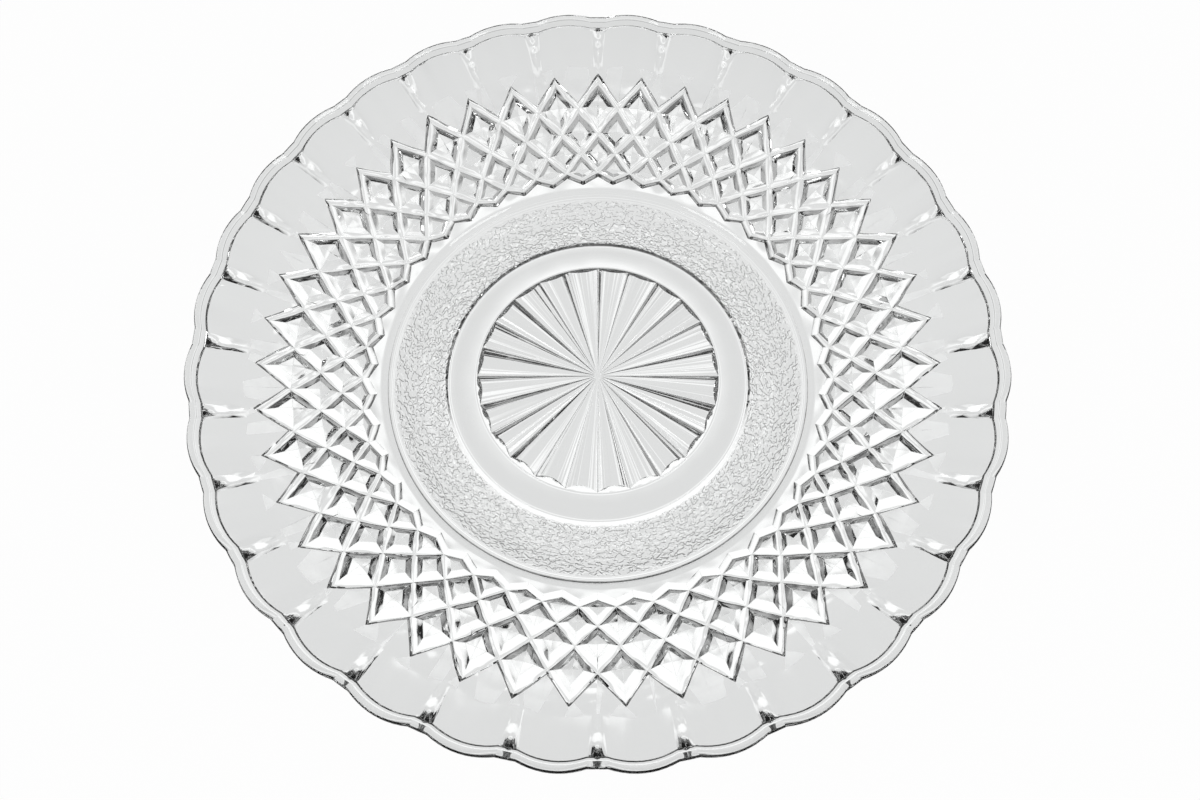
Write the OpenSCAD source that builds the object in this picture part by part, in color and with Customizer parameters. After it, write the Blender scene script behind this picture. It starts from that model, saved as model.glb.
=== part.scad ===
// Dessert plate pressed from one piece of clear glass, in millimetres.
// The origin is on the table under the plate's centre, and +Z points up.
// The eating side is smooth. The star, the diamonds and the bead are pressed into the underside.

/* [Rim] */
// Radius to the crest of a scallop
rim_r = 97.5; // [94:0.5:104]
// Height of the rim above the table
rim_h = 28; // [25:0.5:31]
// Thickness of the glass at the rim
lip_t = 2.6; // [2.2:0.1:3]
// Width of the flat on top of the lip
lip_flat = 1.7; // [1.2:0.1:2]
// Width of the fluted rim, from the bend to the lip
rim_w = 13; // [12:0.5:14]
// Number of scallops, each with a flute behind it
scallops = 32; // [28:1:34]
// How far a scallop stands out past the narrow strips between the flutes
scallop_depth = 1.2; // [0.8:0.1:1.6]
// Width of a flute
flute_w = 14.6; // [13:0.2:15.4]

/* [Wall] */
// Thickness of the sloping wall
wall_t = 3.4; // [3:0.1:4]
// Height, on the underside, of the bend between the wall and the rim
bend_h = 18; // [16.5:0.5:19.5]

/* [Diamond band] */
// Number of diamonds round the plate
diamonds = 43; // [36:1:48]
// Distance from the bend to the outer points of the ridges
band_outer_gap = 1.2; // [1:0.1:2.5]
// Distance from the bead to the inner points of the ridges
band_inner_gap = 4.5; // [4:0.1:5]
// Height of a ridge above the wall
ridge_h = 1.7; // [1.2:0.1:2]
// Height of the flat in a diamond above the wall
flat_h = 0.3; // [0.2:0.1:0.5]
// Share of a diamond that its flat takes up
flat_share = 0.46; // [0.4:0.02:0.6]
// Width of the slope outside the outer ridges
outer_edge_w = 1.1; // [0.8:0.1:1.2]
// Width of the slope inside the inner ridges
inner_edge_w = 0.6; // [0.4:0.1:0.8]

/* [Base] */
// Height of the eating surface
well_h = 5.4; // [5:0.1:6.4]
// Radius of the recess under the centre
recess_r = 39; // [37:0.5:41]
// Depth of that recess
recess_h = 1.2; // [0.8:0.1:1.6]
// Width of the step from the recess down to the foot
step_w = 1.5; // [1:0.1:2]
// Width of the foot, from that step to the corner of the wall
foot_w = 8; // [7:0.5:9]
// Distance from that corner to the bead
bead_gap = 5.9; // [5.2:0.1:6]
// Radius of the bead's own round section
bead_r = 0.9; // [0.7:0.1:1.1]

/* [Star] */
// Number of rays in the star
rays = 24; // [16:1:32]
// Width of the smooth ring between the star and the edge of the recess
smooth_w = 7.4; // [5:0.2:9]
// Depth of a channel between two rays at the edge of the star
star_depth = 1.1; // [0.6:0.1:1.4]
// Width of the slope that ends a channel
star_end_w = 1.3; // [0.9:0.1:1.8]

/* [Hidden] */
$fn = 96;

// Part of the bead's section that stands out of the wall
bead_proud = 0.45;
// Depth of the rays' crests inside the recess
crest_drop = 0.2;
// How far the diamond band and a flute's bulge reach into the glass
band_bury = 1;
flute_bury = 1.9;
// Length over which the flutes fade out inside the bend, and the room round the bar that forms each
fade_length = 5;
fade_room_share = 0.2;
flute_room = 0.2;
// Extra length by which a cut or a trimmed shape passes what it meets
overrun = 5;
// Radii of the rounded corners of the section
step_round = 0.5;
foot_round = 9;
bend_round = 12;
well_round = 16;
// Number of pieces in a rounded corner, and in the edge of the star between two rays
round_steps = 4;
arc_steps = 4;
// Place of each ring of crossings, from the outer points to the inner ones
ring_shares = [0, 0.272, 0.529, 0.73, 0.92, 1];
rows = len(ring_shares) - 2;
// Share of a ray's pitch that one flank takes at each side of a channel
ray_flank_share = 0.24;

foot_r = recess_r + step_w + foot_w;
bend_r = rim_r - rim_w;
bead_ring_r = foot_r + bead_gap;
band_inner_r = bead_ring_r + band_inner_gap;
band_outer_r = bend_r - band_outer_gap;
star_r = recess_r - smooth_w;
strip_r = rim_r - scallop_depth;
bend = [bend_r, bend_h];
lip_inner = [strip_r - lip_flat, rim_h];
wall_angle = atan2(bend_h, bend_r - foot_r);
rim_angle = atan2(lip_inner[1] - bend_h, lip_inner[0] - bend_r) - asin(lip_t / norm(lip_inner - bend));
flute_depth = scallop_depth * sin(rim_angle);

function along(angle) = [cos(angle), sin(angle)];
function outward(angle) = [sin(angle), -cos(angle)];
function cross_z(a, b) = a[0] * b[1] - a[1] * b[0];

// Point where the line through p at one angle meets the line through q at another
function meet(p, p_angle, q, q_angle) =
    p + along(p_angle) * cross_z(q - p, along(q_angle)) / cross_z(along(p_angle), along(q_angle));

// Radius of the circle whose arc is so wide and stands so far out of a round edge of a given radius
function arc_radius(width, depth, edge_r) = 1 / (8 * depth / width ^ 2 + 1 / edge_r);

top_bend = bend - wall_t * outward((wall_angle + rim_angle) / 2);
top_angle = atan2(lip_inner[1] - top_bend[1], lip_inner[0] - top_bend[0]);
well_corner = meet(top_bend, wall_angle, [0, well_h], 0);
rim_reach = norm(lip_inner - bend) + overrun;
flute_r = arc_radius(flute_w, flute_depth, strip_r / sin(rim_angle));
scallop_r = arc_radius(flute_w, scallop_depth, strip_r);

// Points of the arc that rounds the corner at b of the line a, b, c
function rounded(a, b, c, radius) =
    let (
        u = (a - b) / norm(a - b),
        v = (c - b) / norm(c - b),
        half = acos(u * v) / 2,
        centre = b + (u + v) / norm(u + v) * radius / sin(half),
        start = b + u * radius / tan(half) - centre,
        stop = b + v * radius / tan(half) - centre,
        a0 = atan2(start[1], start[0]),
        turn = (atan2(stop[1], stop[0]) - a0 + 540) % 360 - 180
    )
    [for (i = [0 : round_steps]) centre + radius * along(a0 + turn * i / round_steps)];

// Half of the section through the plate, without its patterns and with the rim left long
module section() {
    axis_low = [0, recess_h];
    recess_edge = [recess_r, recess_h];
    foot_inner = [recess_r + step_w, 0];
    foot_corner = [foot_r, 0];
    axis_high = [0, well_h];
    end_low = bend + rim_reach * along(rim_angle);
    end_high = top_bend + rim_reach * along(top_angle);
    polygon(concat(
        [axis_low],
        rounded(axis_low, recess_edge, foot_inner, step_round),
        rounded(recess_edge, foot_inner, foot_corner, step_round),
        rounded(foot_inner, foot_corner, bend, foot_round),
        rounded(foot_corner, bend, end_low, bend_round),
        [end_low, end_high],
        rounded(end_high, top_bend, well_corner, bend_round),
        rounded(top_bend, well_corner, axis_high, well_round),
        [axis_high]
    ));
}

// The bead that edges the foot, set into the wall
module bead() {
    on_wall = [bead_ring_r, (bead_ring_r - foot_r) * tan(wall_angle)];
    translate(on_wall + (bead_proud - bead_r) * outward(wall_angle)) circle(r = bead_r);
}

module body() {
    rotate_extrude() {
        section();
        bead();
    }
}

module each_flute() {
    for (i = [0 : scallops - 1])
        rotate([0, 0, 90 + (i + 0.5) * 360 / scallops]) children();
}

// One round-backed bar along a flute. Its arc stands out past the surface that rises from the corner.
module flute_bar(corner, angle) {
    start = corner - overrun * along(angle);
    half = flute_w / 2 + flute_room;
    translate([start[0], 0, start[1]])
        rotate([0, 90 - angle, 0])
            linear_extrude(height = rim_reach + overrun)
                intersection() {
                    translate([flute_depth - flute_r, 0]) circle(r = flute_r);
                    translate([-flute_bury, -half]) square([flute_bury + 2 * flute_depth, 2 * half]);
                }
}

// Ring that holds the bars of all flutes and slopes them off inside the bend
module flute_ring(corner, angle) {
    crest = corner + (flute_depth + flute_room) * outward(angle);
    back = corner - (flute_bury + flute_room) * outward(angle);
    wall_point = corner - fade_length * along(wall_angle);
    fade_end = wall_point + fade_room_share * (wall_point - crest);
    reach = rim_reach * along(angle);
    rotate_extrude()
        polygon([
            fade_end,
            crest,
            crest + reach,
            back + reach,
            back,
            fade_end - flute_bury * outward(wall_angle)
        ]);
}

module flutes(corner, angle) {
    intersection() {
        each_flute() flute_bar(corner, angle);
        flute_ring(corner, angle);
    }
}

// Plan of the rim, with its scallops and the strips between them
module scalloped_plan() {
    circle(r = strip_r);
    each_flute() translate([rim_r - scallop_r, 0]) circle(r = scallop_r);
}

module plain_plate() {
    intersection() {
        difference() {
            union() {
                body();
                flutes(bend, rim_angle);
            }
            flutes(top_bend, top_angle);
        }
        translate([0, 0, -overrun]) linear_extrude(height = rim_h + overrun) scalloped_plan();
    }
}

// Point at a radius and an angle, raised by h from the wall's underside
function on_wall(radius, angle, h) =
    let (r = radius + h * sin(wall_angle))
    [r * cos(angle), r * sin(angle), (radius - foot_r) * tan(wall_angle) - h * cos(wall_angle)];

// Radius of a ring of crossings, counted inwards from the outer points
function ring_r(k) = band_outer_r - (band_outer_r - band_inner_r) * ring_shares[k];

// Angle of a crossing. Every other ring is turned by half a diamond.
function ring_angle(k, i) = 90 + (i + (k % 2) / 2) * 360 / diamonds;

// Radial shift of the zigzag between two rings for a sideways shift of its ridges
function zigzag_shift(k, shift) =
    let (half = ring_r(k) * PI / diamonds)
    shift * norm([half, ring_r(k) - ring_r(k + 1)]) / half;

// The lattice of ridges, with a flat in each diamond, as one closed ring buried in the wall
module diamond_band() {
    n = diamonds;
    low_share = (ridge_h + band_bury) / ridge_h;
    outer_shift = zigzag_shift(0, outer_edge_w * low_share);
    inner_shift = zigzag_shift(rows, inner_edge_w * low_share);
    crests = [for (k = [0 : rows + 1], i = [0 : n - 1]) on_wall(ring_r(k), ring_angle(k, i), ridge_h)];
    flats = [
        for (j = [0 : rows - 1], i = [0 : n - 1])
            let (mid = ring_r(j + 1), a = ring_angle(j, i), half = 180 / n * flat_share)
            each [
                on_wall(mid + (ring_r(j) - mid) * flat_share, a, flat_h),
                on_wall(mid, a + half, flat_h),
                on_wall(mid - (mid - ring_r(j + 2)) * flat_share, a, flat_h),
                on_wall(mid, a - half, flat_h)
            ]
    ];
    buried = [
        for (k = [0, 1], i = [0 : n - 1]) on_wall(ring_r(k) + outer_shift, ring_angle(k, i), -band_bury),
        for (k = [rows, rows + 1], i = [0 : n - 1])
            on_wall(ring_r(k) - inner_shift, ring_angle(k, i), -band_bury)
    ];
    flat_start = len(crests);
    buried_start = flat_start + len(flats);
    // Index of a crest, of a flat's corner and of a buried point
    function crest(k, i) = k * n + (i + n) % n;
    function corner(j, i, c) = flat_start + (j * n + i) * 4 + c;
    function low(k, i) = buried_start + k * n + (i + n) % n;
    // The crossing beside crossing i on the next ring inwards, on the side given by 1 or 0
    function beside(k, i, side) = i + side - (k % 2 == 0 ? 1 : 0);
    cells = [
        for (j = [0 : rows - 1], i = [0 : n - 1])
            let (
                c = [
                    crest(j, i),
                    crest(j + 1, beside(j, i, 1)),
                    crest(j + 2, i),
                    crest(j + 1, beside(j, i, 0))
                ],
                f = [for (q = [0 : 3]) corner(j, i, q)]
            )
            each [
                for (q = [0 : 3])
                    let (s = (q + 1) % 4)
                    each [[c[q], c[s], f[s]], [c[q], f[s], f[q]]],
                [f[0], f[1], f[2]],
                [f[0], f[2], f[3]]
            ]
    ];
    edges = [
        for (i = [0 : n - 1], side = [0, 1])
            let (
                t = crest(0, i), v = crest(1, beside(0, i, side)),
                lt = low(0, i), lv = low(1, beside(0, i, side)),
                w = crest(rows, i), u = crest(rows + 1, beside(rows, i, side)),
                lw = low(2, i), lu = low(3, beside(rows, i, side))
            )
            each side == 1
                ? [[t, lt, lv], [t, lv, v], [w, u, lu], [w, lu, lw], [lt, lw, lu], [lt, lu, lv]]
                : [[t, lv, lt], [t, v, lv], [w, lu, u], [w, lw, lu], [lt, lu, lw], [lt, lv, lu]]
    ];
    polyhedron(points = concat(crests, flats, buried), faces = concat(cells, edges), convexity = 8);
}

// The hollow of the star, cut upwards into the recess
module star_cut() {
    pitch = 360 / rays;
    crest_z = recess_h + crest_drop;
    low_z = recess_h - overrun;
    end_r = star_r - star_end_w;
    end_z = crest_z + star_depth;
    ring_n = rays * arc_steps;
    function spot(radius, angle, z) = [radius * cos(angle), radius * sin(angle), z];
    rim_top = [for (i = [0 : ring_n - 1]) spot(star_r, 90 + i * pitch / arc_steps, crest_z)];
    rim_low = [for (i = [0 : ring_n - 1]) spot(star_r, 90 + i * pitch / arc_steps, low_z)];
    floor_ends = [
        for (i = [0 : rays - 1], share = [ray_flank_share, 1 - ray_flank_share])
            spot(end_r, 90 + (i + share) * pitch, end_z)
    ];
    apex = 2 * ring_n + len(floor_ends);
    function top(i) = i % ring_n;
    function low(i) = ring_n + i % ring_n;
    function floor_end(i) = 2 * ring_n + i;
    faces = [
        for (i = [0 : rays - 1])
            let (
                tip = top(i * arc_steps), next_tip = top((i + 1) * arc_steps),
                a = floor_end(2 * i), b = floor_end(2 * i + 1), half = arc_steps / 2
            )
            each [
                [apex, a, tip],
                [apex, b, a],
                [apex, next_tip, b],
                for (s = [0 : half - 1]) [a, top(i * arc_steps + s + 1), top(i * arc_steps + s)],
                [a, b, top(i * arc_steps + half)],
                for (s = [half : arc_steps - 1]) [b, top(i * arc_steps + s + 1), top(i * arc_steps + s)]
            ],
        for (i = [0 : ring_n - 1]) each [[top(i), top(i + 1), low(i + 1)], [top(i), low(i + 1), low(i)]],
        [for (i = [0 : ring_n - 1]) low(i)]
    ];
    polyhedron(
        points = concat(rim_top, rim_low, floor_ends, [[0, 0, crest_z]]),
        faces = faces,
        convexity = 8
    );
}

module plate() {
    color([0.9, 0.93, 0.94, 0.6])
        difference() {
            union() {
                plain_plate();
                diamond_band();
            }
            star_cut();
        }
}

plate();
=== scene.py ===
import math

import bmesh
import bpy
from mathutils import Matrix, Vector, noise


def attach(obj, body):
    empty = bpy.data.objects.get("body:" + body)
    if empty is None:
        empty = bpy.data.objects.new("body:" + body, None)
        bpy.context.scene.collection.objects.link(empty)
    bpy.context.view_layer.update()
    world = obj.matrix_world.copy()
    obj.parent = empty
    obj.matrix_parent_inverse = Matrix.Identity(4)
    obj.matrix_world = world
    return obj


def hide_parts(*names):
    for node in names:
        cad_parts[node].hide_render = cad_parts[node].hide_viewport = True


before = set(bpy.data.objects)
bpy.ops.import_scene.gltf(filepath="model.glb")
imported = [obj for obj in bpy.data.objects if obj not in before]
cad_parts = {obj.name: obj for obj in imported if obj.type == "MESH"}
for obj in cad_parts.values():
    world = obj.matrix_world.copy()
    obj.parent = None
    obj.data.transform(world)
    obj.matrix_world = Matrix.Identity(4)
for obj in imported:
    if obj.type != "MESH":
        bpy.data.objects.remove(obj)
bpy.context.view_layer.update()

MM = 0.001

# Sizes of the plate, as in the construction model
RIM_R = 97.5 * MM
RIM_H = 28 * MM
LIP_T = 2.6 * MM
LIP_FLAT = 1.7 * MM
RIM_W = 13 * MM
SCALLOPS = 32
SCALLOP_DEPTH = 1.2 * MM
FLUTE_W = 14.6 * MM
WALL_T = 3.4 * MM
BEND_H = 18 * MM
DIAMONDS = 43
BAND_OUTER_GAP = 1.2 * MM
BAND_INNER_GAP = 4.5 * MM
RING_SHARES = (0, 0.272, 0.529, 0.73, 0.92, 1)
RIDGE_H = 1.7 * MM
FLAT_SHARE = 0.46
OUTER_EDGE_W = 1.1 * MM
WELL_H = 5.4 * MM
RECESS_R = 39 * MM
RECESS_H = 1.2 * MM
STEP_W = 1.5 * MM
FOOT_W = 8 * MM
BEAD_GAP = 5.9 * MM
RAYS = 24
SMOOTH_W = 7.4 * MM
STAR_END_W = 1.3 * MM
CREST_DROP = 0.2 * MM

# Forms that are softer or deeper here than in the construction model
INNER_EDGE_W = 1.2 * MM
BEAD_R = 1.2 * MM
BEAD_PROUD = 0.3 * MM
STAR_DEPTH = 1.6 * MM
CHANNEL_POWER = 2

# The flanks and flats of the diamonds, and the width of the bevels between them
FLANK_SLOPE = 0.9
FLANK_PARTS = (1.06, 0.94)
FLAT_DISH = 0.28
RIDGE_SOFT = 0.1 * MM
EDGE_SOFT = 0.07 * MM

# Roundings that the mould and the fire polish leave
STEP_ROUND = 1.5 * MM
FOOT_ROUND = 9 * MM
BEND_ROUND = 8 * MM
WELL_ROUND = 16 * MM

# The lip, its inner edge, and the step under it
LIP_ROUND = 0.6 * MM
LIP_STEP = 0.5 * MM
LIP_STEP_LEAN = 0.15
LIP_EDGE_ROUND = 0.15 * MM
LIP_COVE = 0.15 * MM
SEAM_W = 0.2 * MM
SEAM_H = 0.7 * MM
SEAM_KNEE = (0.8, 0.55)
SEAM_IN = 2.4 * MM

# Where the flutes fade into the wall, and the ribs between them
FLUTE_START_R = 72 * MM
FLUTE_FADE = 9 * MM
RIM_START = 1.3 * MM
RIB_DEPTH = 1.1 * MM
RIB_POWER = 1.3
RIB_START_FADE = 0.5 * MM
RIB_END_FADE = 0.3 * MM

# Faint waves in the band, and streaks on the star and the rim as a share of the radius
WAVE_DEPTH = 1.5 * MM
WAVE_LENGTH = 7 * MM
STREAK_DEPTH = 0.03

# The pebbled ring between the step and the bead
PEBBLE_DEPTH = 0.2 * MM
PEBBLE_SIZE = 1.5 * MM
PEBBLE_IN = 40.2 * MM
PEBBLE_OUT = 53.2 * MM
PEBBLE_FADE = 0.5 * MM

# How finely each zone is divided
BASE_STEPS = 840
BASE_ROW = 0.3 * MM
BEAD_STEPS = 10
FLUTE_STEPS = 10
STRIP_STEPS = 8
STAR_ARC_STEPS = 12
STAR_CREST_SHARE = 0.022
STAR_ROWS = (0.04, 0.35, 0.7, 1)
RIM_ROWS = (0, 0.08, 0.3, 0.6, 0.93, 1)
WELL_RINGS = (30 * MM, 10 * MM)
OUTLINE_CUTS = 5
BRIDGE_CUTS = 2

# Gaps that are closed between two zones or two rings
STAR_MARGIN = 0.8 * MM
SMOOTH_MARGIN = 2 * MM
BAND_MARGIN = 0.5 * MM

# Edges that bend by more than this stay crisp
STAR_CREASE = math.radians(32)
BAND_CREASE = math.radians(20)
SEAM_CREASE = math.radians(17)

# How close two points have to be to count as one, in a zone and in the whole, or to be near
CLOSE = 0.01 * MM
SAME = 0.002 * MM
NEAR = 0.1 * MM

RIM_STEPS = SCALLOPS * (FLUTE_STEPS + STRIP_STEPS)
STRIP_R = RIM_R - SCALLOP_DEPTH
FOOT_R = RECESS_R + STEP_W + FOOT_W
BEND_R = RIM_R - RIM_W
BEAD_RING_R = FOOT_R + BEAD_GAP
BAND_INNER_R = BEAD_RING_R + BAND_INNER_GAP
BAND_OUTER_R = BEND_R - BAND_OUTER_GAP
STAR_R = RECESS_R - SMOOTH_W
ROWS = len(RING_SHARES) - 2
WALL_ANGLE = math.atan2(BEND_H, BEND_R - FOOT_R)
BEND = Vector((BEND_R, BEND_H))
LIP_INNER = Vector((STRIP_R - LIP_FLAT, RIM_H))


def along(angle):
    return Vector((math.cos(angle), math.sin(angle)))


def outward(angle):
    return Vector((math.sin(angle), -math.cos(angle)))


def angle_of(way):
    return math.atan2(way.y, way.x)


RIM_ANGLE = angle_of(LIP_INNER - BEND) - math.asin(LIP_T / (LIP_INNER - BEND).length)
TOP_BEND = BEND - WALL_T * outward((WALL_ANGLE + RIM_ANGLE) / 2)
LIP_LOW = BEND + (STRIP_R - BEND_R) / math.cos(RIM_ANGLE) * along(RIM_ANGLE)
WELL_CORNER = TOP_BEND - (TOP_BEND.y - WELL_H) / math.sin(WALL_ANGLE) * along(WALL_ANGLE)


def rounded(before, corner, after, radius, steps):
    """Points of the arc that rounds the corner of the line before, corner, after."""
    u = (before - corner).normalized()
    v = (after - corner).normalized()
    half = u.angle(v) / 2
    centre = corner + (u + v).normalized() * radius / math.sin(half)
    start = corner + u * radius / math.tan(half) - centre
    stop = corner + v * radius / math.tan(half) - centre
    turn = start.angle_signed(stop)
    return [centre + Matrix.Rotation(-turn * i / steps, 2) @ start for i in range(steps + 1)]


def polar(radius, angle, z):
    return Vector((radius * math.cos(angle), radius * math.sin(angle), z))


def radius_of(co):
    return math.hypot(co.x, co.y)


def underside_z(radius):
    """Height of the wall's underside at a radius."""
    return (radius - FOOT_R) * math.tan(WALL_ANGLE)


def wall_height(co):
    """Distance of a point from the wall's underside, positive below it."""
    flat = Vector((radius_of(co) - FOOT_R, co.z))
    return flat.dot(outward(WALL_ANGLE))


def on_wall(radius, angle, height):
    """Point over the wall's underside, raised square to it."""
    spot = Vector((radius, underside_z(radius))) + height * outward(WALL_ANGLE)
    return polar(spot.x, angle, spot.y)


def scallop_wave(angle, radius):
    """Share of the scallop's depth at an angle: 1 at a crest, 0 on the strips between the flutes."""
    pitch = math.tau / SCALLOPS
    off = (angle - math.pi / 2) % pitch - pitch / 2
    return max(0.0, 1 - (2 * radius * math.sin(off) / FLUTE_W) ** 2)


def flute_fade(radius):
    """Share of their depth that the flutes have at a radius, on their way out of the wall."""
    share = min(1.0, max(0.0, (radius - FLUTE_START_R) / FLUTE_FADE))
    return share * share * (3 - 2 * share)


def fluted_z(radius, angle):
    """Height of the underside of the wall or the rim, with its flutes, outside the lattice."""
    r = radius - flute_fade(radius) * SCALLOP_DEPTH * scallop_wave(angle, radius)
    return underside_z(r) if r < BEND_R else BEND_H + (r - BEND_R) * math.tan(RIM_ANGLE)


def rib_wave(angle, radius, z):
    """How far the glass stands out on a strip between two flutes, on the underside of the rim."""
    pitch = math.tau / SCALLOPS
    off = (angle - math.pi / 2 + pitch / 2) % pitch - pitch / 2
    half = pitch / 2 - math.asin(FLUTE_W / 2 / radius)
    end = LIP_LOW.y - SEAM_IN * math.sin(RIM_ANGLE)
    rise = max(0.0, (radius - BEND_R - RIM_START) / RIB_START_FADE)
    under = min(1.0, max(0.0, (end - z) / RIB_END_FADE), rise)
    return RIB_DEPTH * under * max(0.0, 1 - abs(off / half) ** RIB_POWER)


def ring_r(k):
    """Radius of ring k of the crossings, counted from the band's outer edge."""
    return BAND_OUTER_R - (BAND_OUTER_R - BAND_INNER_R) * RING_SHARES[k]


def ring_angle(k, i):
    return math.pi / 2 + (i + (k % 2) / 2) * math.tau / DIAMONDS


def zigzag_shift(k, shift):
    """How far a zigzag from ring k moves along the radius when its lines move by a shift."""
    half = ring_r(k) * math.pi / DIAMONDS
    return shift * math.hypot(half, ring_r(k) - ring_r(k + 1)) / half


BASE_END_R = BAND_INNER_R - zigzag_shift(ROWS, INNER_EDGE_W) - BAND_MARGIN


def spin_profile(bm, points, steps):
    """Turns a chain of (radius, height) points about the plate's axis."""
    verts = [bm.verts.new((r, 0, z)) for r, z in points]
    edges = [bm.edges.new(pair) for pair in zip(verts, verts[1:])]
    bmesh.ops.spin(
        bm, geom=verts + edges, cent=(0, 0, 0), axis=(0, 0, 1), dvec=(0, 0, 0),
        angle=math.tau, steps=steps, use_merge=True, use_duplicate=False,
    )


def repeat_around(bm, faces, count):
    """Copies the faces of one sector to the rest of the circle and merges their edges."""
    bmesh.ops.spin(
        bm, geom=faces, cent=(0, 0, 0), axis=(0, 0, 1), dvec=(0, 0, 0),
        angle=math.tau * (count - 1) / count, steps=count - 1, use_duplicate=True,
    )
    bmesh.ops.remove_doubles(bm, verts=bm.verts[:], dist=CLOSE)


def open_edges(bm, low, high):
    """Open edges of the underside whose ends lie between two radii."""
    def fits(co):
        r = radius_of(co)
        if not low <= r <= high:
            return False
        middle = underside_z(r) + WALL_T / 2 if r > FOOT_R else WELL_H / 2
        return co.z <= middle
    return [e for e in bm.edges if e.is_boundary and all(fits(v.co) for v in e.verts)]


def open_ring(bm, radius):
    return open_edges(bm, radius - NEAR, radius + NEAR)


def channel_depth(share):
    """Depth of a channel across its width, as a share of its greatest depth."""
    return 1 - abs(2 * share - 1) ** CHANNEL_POWER


def add_star(bm):
    """The star in the recess: a crest along each ray, and a hollow channel between two rays."""
    pitch = math.tau / RAYS
    crest_z = RECESS_H + CREST_DROP
    start = math.pi / 2
    inner_shares = (i / STAR_ARC_STEPS for i in range(1, STAR_ARC_STEPS))
    shares = [0, STAR_CREST_SHARE, *inner_shares, 1 - STAR_CREST_SHARE, 1]
    steps = len(shares) - 1
    rows = []
    for out in STAR_ROWS:
        rows.append([
            bm.verts.new(polar(
                out * (STAR_R - STAR_END_W * channel_depth(share)), start + pitch * share,
                crest_z + out * STAR_DEPTH * channel_depth(share),
            ))
            for share in shares
        ])
    tips = (rows[-1][0], rows[-1][-1])
    rim = [bm.verts.new(polar(STAR_R, start + pitch * share, crest_z)) for share in shares[1:-1]]
    rows.append([tips[0], *rim, tips[1]])
    crest = bm.faces.layers.float["crest"]
    centre = bm.verts.new((0, 0, crest_z))
    faces = [bm.faces.new((centre, *pair)) for pair in zip(rows[0], rows[0][1:])]
    for lower, upper in zip(rows, rows[1:]):
        for i in range(steps):
            corners = dict.fromkeys((lower[i], upper[i], upper[i + 1], lower[i + 1]))
            faces.append(bm.faces.new(list(corners)))
            faces[-1][crest] = 1.0 if i in (0, steps - 1) else 0.0
    repeat_around(bm, faces, RAYS)
    for e in bm.edges:
        if e.is_manifold and e.calc_face_angle() > STAR_CREASE:
            e.smooth = False


def add_base(bm):
    """The recess, its step, the pebbled foot and the bead, out to the diamonds."""
    recess_edge = Vector((RECESS_R, RECESS_H))
    foot_inner = Vector((RECESS_R + STEP_W, 0))
    foot_corner = Vector((FOOT_R, 0))
    axis_low = Vector((0, RECESS_H))
    points = [Vector((r, RECESS_H)) for r in (STAR_R + STAR_MARGIN, RECESS_R - SMOOTH_MARGIN)]
    points += rounded(axis_low, recess_edge, foot_inner, STEP_ROUND, 4)
    points += rounded(recess_edge, foot_inner, foot_corner, STEP_ROUND, 4)
    corner = rounded(foot_inner, foot_corner, BEND, FOOT_ROUND, 8)
    flat_rows = int((corner[0].x - points[-1].x) / BASE_ROW)
    points += [points[-1].lerp(corner[0], i / flat_rows) for i in range(1, flat_rows)]
    points += corner
    bead_on_wall = Vector((BEAD_RING_R, underside_z(BEAD_RING_R)))
    centre = bead_on_wall + (BEAD_PROUD - BEAD_R) * outward(WALL_ANGLE)
    open_angle = math.acos((BEAD_R - BEAD_PROUD) / BEAD_R)
    bead = [
        centre + BEAD_R * (Matrix.Rotation(turn, 2) @ outward(WALL_ANGLE))
        for turn in (open_angle * (2 * i / BEAD_STEPS - 1) for i in range(BEAD_STEPS + 1))
    ]
    if bead[0].x > bead[-1].x:
        bead.reverse()
    wall_rows = int((bead[0] - points[-1]).length / BASE_ROW)
    points += [points[-1].lerp(bead[0], i / wall_rows) for i in range(1, wall_rows)]
    points += bead
    points.append(Vector((BASE_END_R, underside_z(BASE_END_R))))
    spin_profile(bm, points, BASE_STEPS)
    for v in bm.verts:
        r = radius_of(v.co)
        if PEBBLE_IN < r < PEBBLE_OUT:
            edge = min(1.0, (r - PEBBLE_IN) / PEBBLE_FADE, (PEBBLE_OUT - r) / PEBBLE_FADE)
            v.co.z += PEBBLE_DEPTH / 2 * edge * (1 - pebble(v.co))


def pebble(co):
    """Height of the pebbled texture at a point, from 0 to 1."""
    p = Vector((co.x, co.y, 0)) / PEBBLE_SIZE
    warp_x = noise.noise(p * 0.9 + Vector((7, 0, 3)))
    warp_y = noise.noise(p * 0.9 + Vector((0, 9, 5)))
    coarse = 1 - abs(noise.noise(p + Vector((warp_x, warp_y, 0)) * 0.9)) * 3
    fine = noise.noise(p * 2.1 + Vector((3, 1, 8)))
    return min(1.0, max(0.0, 0.15 + 0.75 * max(coarse, 0.0) + 0.35 * fine))


def add_diamonds(bm):
    """The lattice of ridges, with a flat in each diamond, on the wall's underside."""
    spots = {}

    def crossing(k, i):
        if (k, i) not in spots:
            spots[k, i] = bm.verts.new(on_wall(ring_r(k), ring_angle(k, i), RIDGE_H))
        return spots[k, i]

    column = []
    for j in range(ROWS):
        side = 0 if j % 2 else -1
        corners = (crossing(j, 0), crossing(j + 1, side + 1), crossing(j + 2, 0), crossing(j + 1, side))
        column.append(bm.faces.new(corners))
    repeat_around(bm, column, DIAMONDS)
    bmesh.ops.recalc_face_normals(bm, faces=bm.faces[:])
    if sum(f.normal.z for f in bm.faces) > 0:
        bmesh.ops.reverse_faces(bm, faces=bm.faces[:])
    slope_band_edges(bm)
    cells = [
        f for f in bm.faces
        if len(f.verts) == 4 and all(abs(wall_height(v.co) - RIDGE_H) < CLOSE for v in f.verts)
    ]
    sink_flats(bm, cells)
    soften_lines(bm)
    seat_outline(bm)


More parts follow.
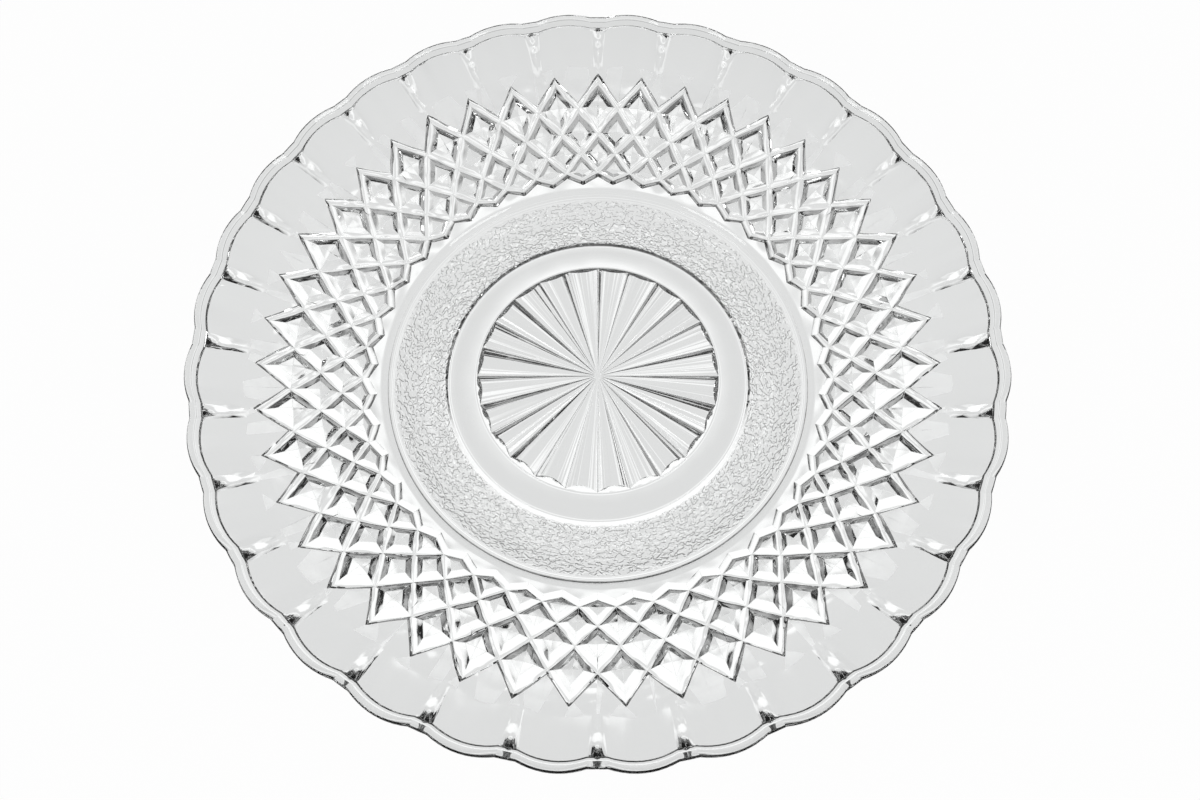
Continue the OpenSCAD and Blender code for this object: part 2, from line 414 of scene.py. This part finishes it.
def slope_band_edges(bm):
    """Slopes from the outermost and the innermost ridges down to the wall."""
    outline = [e for e in bm.edges if e.is_boundary]
    drop = RIDGE_H * outward(WALL_ANGLE)
    for low, high, shift in (
        (ring_r(1) - MM, RIM_R, zigzag_shift(0, OUTER_EDGE_W)),
        (0, ring_r(ROWS) + MM, -zigzag_shift(ROWS, INNER_EDGE_W)),
    ):
        edges = [e for e in outline if all(low < radius_of(v.co) < high for v in e.verts)]
        made = bmesh.ops.extrude_edge_only(bm, edges=edges)
        for v in (g for g in made["geom"] if isinstance(g, bmesh.types.BMVert)):
            r = radius_of(v.co) - drop.x + shift
            v.co = polar(r, math.atan2(v.co.y, v.co.x), underside_z(r))


def sink_flats(bm, cells):
    """Flanks in two steps round each diamond, and a dished flat between them."""
    rows = {}
    for f in cells:
        rows.setdefault(round(f.calc_area() / MM ** 2, 2), []).append(f)
    for row in rows.values():
        width = (1 - FLAT_SHARE) * 2 * row[0].calc_area() / row[0].calc_perimeter()
        step = width / len(FLANK_PARTS)
        for part in FLANK_PARTS:
            bmesh.ops.inset_individual(
                bm, faces=row, thickness=step, depth=-step * (FLANK_SLOPE * part), use_even_offset=True,
            )
        half = 2 * row[0].calc_area() / row[0].calc_perimeter()
        bmesh.ops.poke(
            bm, faces=row, offset=-FLAT_DISH * half, center_mode="MEAN", use_relative_offset=False,
        )


def soften_lines(bm):
    """Bevels the ridges and then the other edges, and marks the narrow faces as crests."""
    lines = set()
    for offset, ridges in ((RIDGE_SOFT, True), (EDGE_SOFT, False)):
        creases = [
            e for e in bm.edges
            if e.is_manifold and e.calc_face_angle() > BAND_CREASE and not lines.intersection(e.link_faces)
            and ridges == all(wall_height(v.co) > RIDGE_H - NEAR / 2 for v in e.verts)
        ]
        made = bmesh.ops.bevel(
            bm, geom=creases, offset=offset, offset_type="OFFSET", segments=1, profile=0.5,
            affect="EDGES", material=-1, clamp_overlap=True,
        )
        lines.update(made["faces"])
        lines = {f for f in lines if f.is_valid}
    crest = bm.faces.layers.float["crest"]
    for f in bm.faces:
        f[crest] = 1.0 if f in lines else 0.0
    for e in bm.edges:
        if len(lines.intersection(e.link_faces)) == 1:
            e.smooth = False


def seat_outline(bm):
    """Ends the outer slope of the lattice on the flutes, which run on under it."""
    bmesh.ops.subdivide_edges(bm, edges=open_edges(bm, ring_r(1), RIM_R), cuts=OUTLINE_CUTS)
    shift = zigzag_shift(0, OUTER_EDGE_W)
    for v in {v for e in open_edges(bm, ring_r(1), RIM_R) for v in e.verts}:
        r = radius_of(v.co)
        angle = math.atan2(v.co.y, v.co.x)
        rise = flute_fade(r) * SCALLOP_DEPTH * math.sin(WALL_ANGLE) * scallop_wave(angle, r)
        v.co = on_wall(r - shift * rise / RIDGE_H, angle, rise)


def rim_and_top_profile():
    """Points from the rim's first ring over the lip and down to the middle of the eating side."""
    first = BEND + RIM_START / math.cos(RIM_ANGLE) * along(RIM_ANGLE)
    seam = LIP_LOW - SEAM_IN * along(RIM_ANGLE)
    points = [first.lerp(seam, share) for share in RIM_ROWS]
    points.append(seam + Vector((SEAM_KNEE[0] * SEAM_W, SEAM_KNEE[1] * SEAM_H)))
    points.append(seam + Vector((SEAM_W, SEAM_H)))
    thinner = Vector((0, SEAM_H - SEAM_W * math.tan(RIM_ANGLE)))
    low = LIP_LOW + thinner
    lip_outer = Vector((STRIP_R, RIM_H))
    step_low = LIP_INNER - Vector((LIP_STEP_LEAN * LIP_STEP, LIP_STEP))
    points += rounded(BEND + thinner, low, lip_outer, LIP_ROUND, 4)
    points += rounded(low, lip_outer, LIP_INNER, LIP_ROUND, 5)
    points += rounded(lip_outer, LIP_INNER, step_low, LIP_EDGE_ROUND, 3)
    points += rounded(LIP_INNER, step_low, TOP_BEND, LIP_COVE, 3)
    top_arc = rounded(points[-1], TOP_BEND, WELL_CORNER, BEND_ROUND, 4)
    points += [points[-1].lerp(top_arc[0], i / 8) for i in range(1, 8)] + top_arc
    well_arc = rounded(TOP_BEND, WELL_CORNER, Vector((0, WELL_H)), WELL_ROUND, 8)
    points += [top_arc[-1].lerp(well_arc[0], i / 12) for i in range(1, 12)] + well_arc
    return points + [Vector((r, WELL_H)) for r in WELL_RINGS]


def add_rim_and_top(bm):
    """The fluted rim, the lip and the eating side."""
    spin_profile(bm, rim_and_top_profile(), RIM_STEPS)
    pitch = math.tau / SCALLOPS
    seams = set()
    for v in bm.verts:
        r = radius_of(v.co)
        fade = flute_fade(r)
        if fade == 0:
            continue
        step = round((math.atan2(v.co.y, v.co.x) - math.pi / 2) / math.tau * RIM_STEPS)
        flute, column = divmod(step - STRIP_STEPS // 2, FLUTE_STEPS + STRIP_STEPS)
        edge = math.asin(FLUTE_W / 2 / r)
        if column <= FLUTE_STEPS:
            off = pitch / 2 - edge + 2 * edge * column / FLUTE_STEPS
        else:
            off = pitch / 2 + edge + (pitch - 2 * edge) * (column - FLUTE_STEPS) / STRIP_STEPS
        angle = math.pi / 2 + flute * pitch + off
        over = v.co.z - BEND_H - (r - BEND_R) * math.tan(RIM_ANGLE)
        if column in (0, FLUTE_STEPS) and over <= 0.8 * MM:
            seams.add(v)
        out = SCALLOP_DEPTH * scallop_wave(angle, r) + rib_wave(angle, r, v.co.z)
        v.co = polar(r + fade * out, angle, v.co.z)

    def under_lip(co):
        return STRIP_R - 3.5 * MM < radius_of(co) < STRIP_R + 0.5 * MM and co.z < LIP_LOW.y

    for e in bm.edges:
        if seams.issuperset(e.verts):
            e.smooth = False
        low = all(under_lip(v.co) for v in e.verts)
        if low and e.is_manifold and e.calc_face_angle() > SEAM_CREASE:
            e.smooth = False
    hole_r = WELL_RINGS[-1] + MM
    hole = [e for e in bm.edges if e.is_boundary and all(radius_of(v.co) < hole_r for v in e.verts)]
    bmesh.ops.contextual_create(bm, geom=hole)


def make_plate():
    """Builds the four zones, closes the gaps between them and returns the finished piece."""
    bm = bmesh.new()
    bm.faces.layers.float.new("crest")
    for build in (add_star, add_base, add_diamonds, add_rim_and_top):
        part = bmesh.new()
        part.faces.layers.float.new("crest")
        build(part)
        mesh = bpy.data.meshes.new(build.__name__)
        for f in part.faces:
            f.smooth = True
        part.to_mesh(mesh)
        part.free()
        bm.from_mesh(mesh)
        bpy.data.meshes.remove(mesh)
    rim_start_r = BEND_R + RIM_START - NEAR / 2
    band_in = open_edges(bm, BASE_END_R + 2 * NEAR, ring_r(ROWS) + MM)
    band_out = open_edges(bm, ring_r(1) - MM, rim_start_r)
    rim_in = open_edges(bm, rim_start_r, BEND_R + 4 * MM)
    gaps = (
        (open_ring(bm, STAR_R), open_ring(bm, STAR_R + STAR_MARGIN)),
        (open_ring(bm, BASE_END_R), band_in),
        (band_out, rim_in),
    )
    outline = {v for e in band_out for v in e.verts}
    ring = {v for e in rim_in for v in e.verts}
    for first, second in gaps:
        for f in bmesh.ops.bridge_loops(bm, edges=first + second)["faces"]:
            f.smooth = True
    for e in band_in + band_out:
        e.smooth = False
    across = [
        e for e in bm.edges
        if len(outline.intersection(e.verts)) == 1 and len(ring.intersection(e.verts)) == 1
    ]
    made = bmesh.ops.subdivide_edges(bm, edges=across, cuts=BRIDGE_CUTS, use_grid_fill=True)
    for v in {g for g in made["geom_inner"] if isinstance(g, bmesh.types.BMVert)}:
        v.co.z = fluted_z(radius_of(v.co), math.atan2(v.co.y, v.co.x))
        for f in v.link_faces:
            f.smooth = True
    bmesh.ops.remove_doubles(bm, verts=bm.verts[:], dist=SAME)
    bmesh.ops.recalc_face_normals(bm, faces=bm.faces[:])
    mesh = bpy.data.meshes.new("plate_glass")
    bm.to_mesh(mesh)
    bm.free()
    piece = bpy.data.objects.new("plate_glass", mesh)
    bpy.context.scene.collection.objects.link(piece)
    return piece


def add_node(tree, kind, inputs=None, **settings):
    """A new node with its settings. Each input is a value, or the output that feeds it."""
    node = tree.nodes.new(kind)
    for name, value in settings.items():
        setattr(node, name, value)
    for name, value in (inputs or {}).items():
        if isinstance(value, bpy.types.NodeSocket):
            tree.links.new(value, node.inputs[name])
        else:
            node.inputs[name].default_value = value
    return node


def calculate(tree, operation, *values):
    """Output of a Math node."""
    return add_node(tree, "ShaderNodeMath", dict(enumerate(values)), operation=operation).outputs[0]


def ramp(tree, value, start, stop, low=0, high=1, **settings):
    """Output that runs from low to high while the value runs from start to stop."""
    inputs = {"Value": value, "From Min": start, "From Max": stop, "To Min": low, "To Max": high}
    return add_node(tree, "ShaderNodeMapRange", inputs, **settings).outputs["Result"]


def add_curve(tree, value, spots, handles):
    """Output of a curve through the spots, which lie between 0 and 1."""
    node = add_node(tree, "ShaderNodeFloatCurve", {"Value": value})
    points = node.mapping.curves[0].points
    while len(points) < len(spots):
        points.new(0.5, 0.5)
    for point, spot in zip(points, spots):
        point.location = spot
        point.handle_type = handles
    node.mapping.update()
    return node.outputs["Value"]


def around_axis(tree):
    """Outputs for the height, the radius and the direction from the plate's axis."""
    place = add_node(tree, "ShaderNodeTexCoord")
    split = add_node(tree, "ShaderNodeSeparateXYZ", {0: place.outputs["Object"]})
    flat = add_node(tree, "ShaderNodeCombineXYZ", {"X": split.outputs["X"], "Y": split.outputs["Y"]})
    radius = add_node(tree, "ShaderNodeVectorMath", {0: flat.outputs[0]}, operation="LENGTH")
    way = add_node(tree, "ShaderNodeVectorMath", {0: flat.outputs[0]}, operation="NORMALIZE")
    return split.outputs["Z"], radius.outputs["Value"], way.outputs[0]


def pebble_pattern():
    """Node group: the wormy relief of the pebbled ring, and a mask of where it is."""
    group = bpy.data.node_groups.new("pebbled_ring", "ShaderNodeTree")
    size = group.interface.new_socket("Size", in_out="INPUT", socket_type="NodeSocketFloat")
    size.default_value = MM
    group.interface.new_socket("Height", in_out="OUTPUT", socket_type="NodeSocketFloat")
    group.interface.new_socket("Mask", in_out="OUTPUT", socket_type="NodeSocketFloat")
    given = add_node(group, "NodeGroupInput")
    z, radius, way = around_axis(group)
    # The grain runs round the ring, and is finer across it
    finer_across = 1.5
    round_way = add_node(
        group, "ShaderNodeVectorMath", {0: way, "Scale": (PEBBLE_IN + PEBBLE_OUT) / 2}, operation="SCALE",
    )
    lift = add_node(
        group, "ShaderNodeCombineXYZ", {"Z": calculate(group, "MULTIPLY", radius, finer_across)},
    )
    spot = add_node(
        group, "ShaderNodeVectorMath", {0: round_way.outputs[0], 1: lift.outputs[0]}, operation="ADD",
    )
    grain = add_node(group, "ShaderNodeTexNoise", {
        "Vector": spot.outputs[0], "Scale": calculate(group, "DIVIDE", 1, given.outputs["Size"]),
        "Detail": 1.5, "Roughness": 0.45, "Distortion": 0.9,
    })
    ridge = ramp(group, grain.outputs["Fac"], 0.42, 0.58, interpolation_type="SMOOTHSTEP")
    fade = 0.3 * MM
    inner = ramp(group, radius, PEBBLE_IN - fade, PEBBLE_IN + fade, interpolation_type="SMOOTHSTEP")
    outer = ramp(group, radius, PEBBLE_OUT + fade, PEBBLE_OUT - fade, interpolation_type="SMOOTHSTEP")
    under = calculate(group, "LESS_THAN", z, 4 * MM)
    mask = calculate(group, "MULTIPLY", calculate(group, "MULTIPLY", inner, outer), under)
    height = calculate(group, "MULTIPLY", ridge, mask)
    add_node(group, "NodeGroupOutput", {"Height": height, "Mask": mask})
    return group


def pressed_band():
    """Node group: a mask of the diamonds on the wall's underside, and streaks along the radius."""
    group = bpy.data.node_groups.new("pressed_band", "ShaderNodeTree")
    group.interface.new_socket("Mask", in_out="OUTPUT", socket_type="NodeSocketFloat")
    group.interface.new_socket("Streaks", in_out="OUTPUT", socket_type="NodeSocketFloat")
    z, radius, way = around_axis(group)
    wall = ramp(group, radius, FOOT_R, BEND_R, 0, BEND_H, clamp=False)
    over = calculate(group, "SUBTRACT", z, calculate(group, "MAXIMUM", wall, WELL_H / 2))
    under = calculate(group, "LESS_THAN", over, WALL_T / 2)
    inside = ramp(group, radius, BAND_INNER_R - 2 * MM, BAND_INNER_R + 2 * MM)
    outside = ramp(group, radius, BAND_OUTER_R + 0.5 * MM, BAND_OUTER_R - 3 * MM)
    ring = calculate(group, "MULTIPLY", inside, outside)
    mask = calculate(group, "MULTIPLY", ring, under)
    grain = add_node(group, "ShaderNodeTexNoise", {
        "Vector": way, "Scale": 13, "Detail": 1.5, "Roughness": 0.4,
    })
    # How strong the streaks are by radius, which the curve reads in tenths of a metre
    strengths = (
        (0, 0), (4, 1), (STAR_R / MM - 1, 1), (STAR_R / MM, 0), (BEND_R / MM, 0), (100, 0.8),
    )
    strength = add_curve(
        group, calculate(group, "MULTIPLY", radius, 10), [(r / 100, s) for r, s in strengths], "VECTOR",
    )
    level = calculate(group, "SUBTRACT", grain.outputs["Fac"], 0.5)
    tall = calculate(group, "MULTIPLY", level, strength)
    wide = calculate(group, "MULTIPLY", tall, radius)
    streaks = calculate(group, "MULTIPLY", wide, under)
    add_node(group, "NodeGroupOutput", {"Mask": mask, "Streaks": streaks})
    return group


def clear_glass():
    """Pressed glass: wavy in the band, streaky on the star and rim, pebbled round the foot."""
    material = bpy.data.materials.new("clear_glass")
    material.use_nodes = True
    tree = material.node_tree
    shader = tree.nodes["Principled BSDF"]
    shader.inputs["Base Color"].default_value = (0.955, 0.965, 0.962, 1)
    shader.inputs["Transmission Weight"].default_value = 1
    shader.inputs["IOR"].default_value = 1.52
    pebbles = add_node(tree, "ShaderNodeGroup", {"Size": 1.35 * MM}, node_tree=pebble_pattern())
    band = add_node(tree, "ShaderNodeGroup", node_tree=pressed_band())
    crest = add_node(tree, "ShaderNodeAttribute", attribute_name="crest")
    worn = ramp(tree, crest.outputs["Fac"], 0, 1, 0, 0.5)
    rough = ramp(tree, pebbles.outputs["Mask"], 0, 1, 0, 0.02)
    tree.links.new(calculate(tree, "MAXIMUM", rough, worn), shader.inputs["Roughness"])
    place = add_node(tree, "ShaderNodeTexCoord")
    waves = add_node(tree, "ShaderNodeTexNoise", {
        "Vector": place.outputs["Object"], "Scale": 1 / WAVE_LENGTH, "Detail": 0.6,
    })
    size = ramp(tree, band.outputs["Mask"], 0, 1, 0.05, 1)
    level = calculate(tree, "SUBTRACT", waves.outputs["Fac"], 0.5)
    wavy = add_node(tree, "ShaderNodeBump", {
        "Strength": 1, "Distance": WAVE_DEPTH, "Height": calculate(tree, "MULTIPLY", level, size),
    })
    streaky = add_node(tree, "ShaderNodeBump", {
        "Strength": 1, "Distance": STREAK_DEPTH, "Height": band.outputs["Streaks"],
        "Normal": wavy.outputs["Normal"],
    })
    relief = add_node(tree, "ShaderNodeBump", {
        "Strength": 1, "Distance": 0.8 * PEBBLE_DEPTH, "Height": pebbles.outputs["Height"],
        "Normal": streaky.outputs["Normal"],
    })
    tree.links.new(relief.outputs["Normal"], shader.inputs["Normal"])
    return material


plate = make_plate()
plate.data.materials.append(clear_glass())
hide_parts("plate")
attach(plate, "root")

# The white ground, which lets the light that has passed through the glass go on to the world below
FLOOR_R = 0.9
FLOOR_DROP = 0.3 * MM
FLOOR_GLOW = 0.97


def make_floor():
    bm = bmesh.new()
    bmesh.ops.create_circle(bm, cap_ends=True, segments=96, radius=FLOOR_R)
    bmesh.ops.translate(bm, verts=bm.verts[:], vec=(0, 0, -FLOOR_DROP))
    mesh = bpy.data.meshes.new("floor")
    bm.to_mesh(mesh)
    bm.free()
    floor = bpy.data.objects.new("floor", mesh)
    bpy.context.scene.collection.objects.link(floor)
    material = bpy.data.materials.new("floor")
    material.use_nodes = True
    tree = material.node_tree
    tree.nodes.clear()
    diffuse = add_node(tree, "ShaderNodeBsdfDiffuse", {"Color": (0.9, 0.9, 0.9, 1)})
    glow = add_node(tree, "ShaderNodeEmission", {"Strength": 1.0})
    clear = add_node(tree, "ShaderNodeBsdfTransparent")
    path = add_node(tree, "ShaderNodeLightPath").outputs
    seen = calculate(tree, "MAXIMUM", path["Is Camera Ray"], path["Is Glossy Ray"])
    share = calculate(tree, "MULTIPLY", seen, FLOOR_GLOW)
    top = add_node(tree, "ShaderNodeMixShader", {0: share, 1: diffuse.outputs[0], 2: glow.outputs[0]})
    mix = add_node(tree, "ShaderNodeMixShader", {
        0: path["Is Transmission Ray"], 1: top.outputs[0], 2: clear.outputs[0],
    })
    add_node(tree, "ShaderNodeOutputMaterial", {"Surface": mix.outputs[0]})
    floor.data.materials.append(material)
    return floor


make_floor()

# Camera, at the viewing angle of the photograph
CAMERA_DISTANCE = 250 * MM
CAMERA_RISE = math.radians(68.8)
CAMERA_LENS = 28.63
CAMERA_SENSOR = 36
AIM = Vector((0.55, -6.0, 0.8)) * MM
camera_data = bpy.data.cameras.new("camera")
camera_data.lens = CAMERA_LENS
camera_data.sensor_width = CAMERA_SENSOR
camera = bpy.data.objects.new("camera", camera_data)
bpy.context.scene.collection.objects.link(camera)
camera.location = AIM + CAMERA_DISTANCE * Vector((0, -math.cos(CAMERA_RISE), math.sin(CAMERA_RISE)))
camera.rotation_euler = (math.pi / 2 - CAMERA_RISE, 0, 0)
bpy.context.scene.camera = camera

# Brightness of the surroundings by angle from straight down, in degrees
GLOW = (
    (0, 1.0), (30, 1.0), (36, 0.98), (41, 0.93), (48, 0.72), (57, 0.48), (65, 0.28), (75, 0.14),
    (85, 0.09), (100, 0.1), (115, 0.2), (140, 0.4), (180, 0.42),
)
# Rings of lighter and greyer boards below, as shares of the full brightness by distance from their
# middle, which lies behind the plate. On the side away from the camera they are squeezed.
RINGS_MIDDLE = (0, 0.381, 0)
RINGS_SQUEEZE = 1.3
RINGS = (
    (0, 0.68), (0.1, 0.67), (0.15, 0.66), (0.18, 0.7), (0.21, 0.8), (0.24, 0.9), (0.262, 0.8),
    (0.282, 0.68), (0.33, 0.67), (0.365, 0.68), (0.39, 0.8), (0.43, 0.94), (0.6, 0.96), (1, 0.96),
)
BRIGHT = 1.2


def make_world():
    """White below, with greyer rings and a fall to dark at the horizon, and a mid-grey room above.

    The camera sees it plain white.
    """
    world = bpy.data.worlds.new("studio")
    world.use_nodes = True
    tree = world.node_tree
    place = add_node(tree, "ShaderNodeTexCoord")
    split = add_node(tree, "ShaderNodeSeparateXYZ", {0: place.outputs["Generated"]})
    turn = ramp(tree, calculate(tree, "ARCCOSINE", split.outputs["Z"]), math.pi, 0)
    glow = add_curve(tree, turn, [(angle / 180, share) for angle, share in GLOW], "AUTO_CLAMPED")
    flat = add_node(tree, "ShaderNodeCombineXYZ", {"X": split.outputs["X"], "Y": split.outputs["Y"]})
    off = add_node(
        tree, "ShaderNodeVectorMath", {0: flat.outputs[0], 1: RINGS_MIDDLE}, operation="SUBTRACT",
    )
    parts = add_node(tree, "ShaderNodeSeparateXYZ", {0: off.outputs[0]})
    ahead = calculate(tree, "MULTIPLY", parts.outputs["Y"], RINGS_SQUEEZE)
    behind = calculate(tree, "MULTIPLY", parts.outputs["Y"], -1)
    reach = calculate(tree, "MAXIMUM", ahead, behind)
    spot = add_node(tree, "ShaderNodeCombineXYZ", {"X": parts.outputs["X"], "Y": reach})
    far = add_node(tree, "ShaderNodeVectorMath", {0: spot.outputs[0]}, operation="LENGTH")
    rings = add_curve(tree, far.outputs["Value"], RINGS, "AUTO_CLAMPED")
    strength = calculate(tree, "MULTIPLY", glow, calculate(tree, "MULTIPLY", rings, BRIGHT))
    path = add_node(tree, "ShaderNodeLightPath")
    seen = add_node(tree, "ShaderNodeMix", {"Factor": path.outputs["Is Camera Ray"], "A": strength, "B": 1})
    background = tree.nodes["Background"]
    background.inputs["Color"].default_value = (1, 1, 1, 1)
    tree.links.new(seen.outputs["Result"], background.inputs["Strength"])
    bpy.context.scene.world = world


LAMP_SIZE = 0.7
LAMP_POWER = 7


def add_lamp(name, place):
    data = bpy.data.lights.new(name, "AREA")
    data.shape = "SQUARE"
    data.size = LAMP_SIZE
    data.energy = LAMP_POWER
    lamp = bpy.data.objects.new(name, data)
    bpy.context.scene.collection.objects.link(lamp)
    lamp.location = place
    lamp.rotation_euler = Vector(place).to_track_quat("Z", "Y").to_euler()


make_world()
add_lamp("left_lamp", (-1.1, -0.9, 0.8))
add_lamp("right_lamp", (1.1, -0.9, 0.8))

bpy.context.scene.view_settings.view_transform = "Standard"
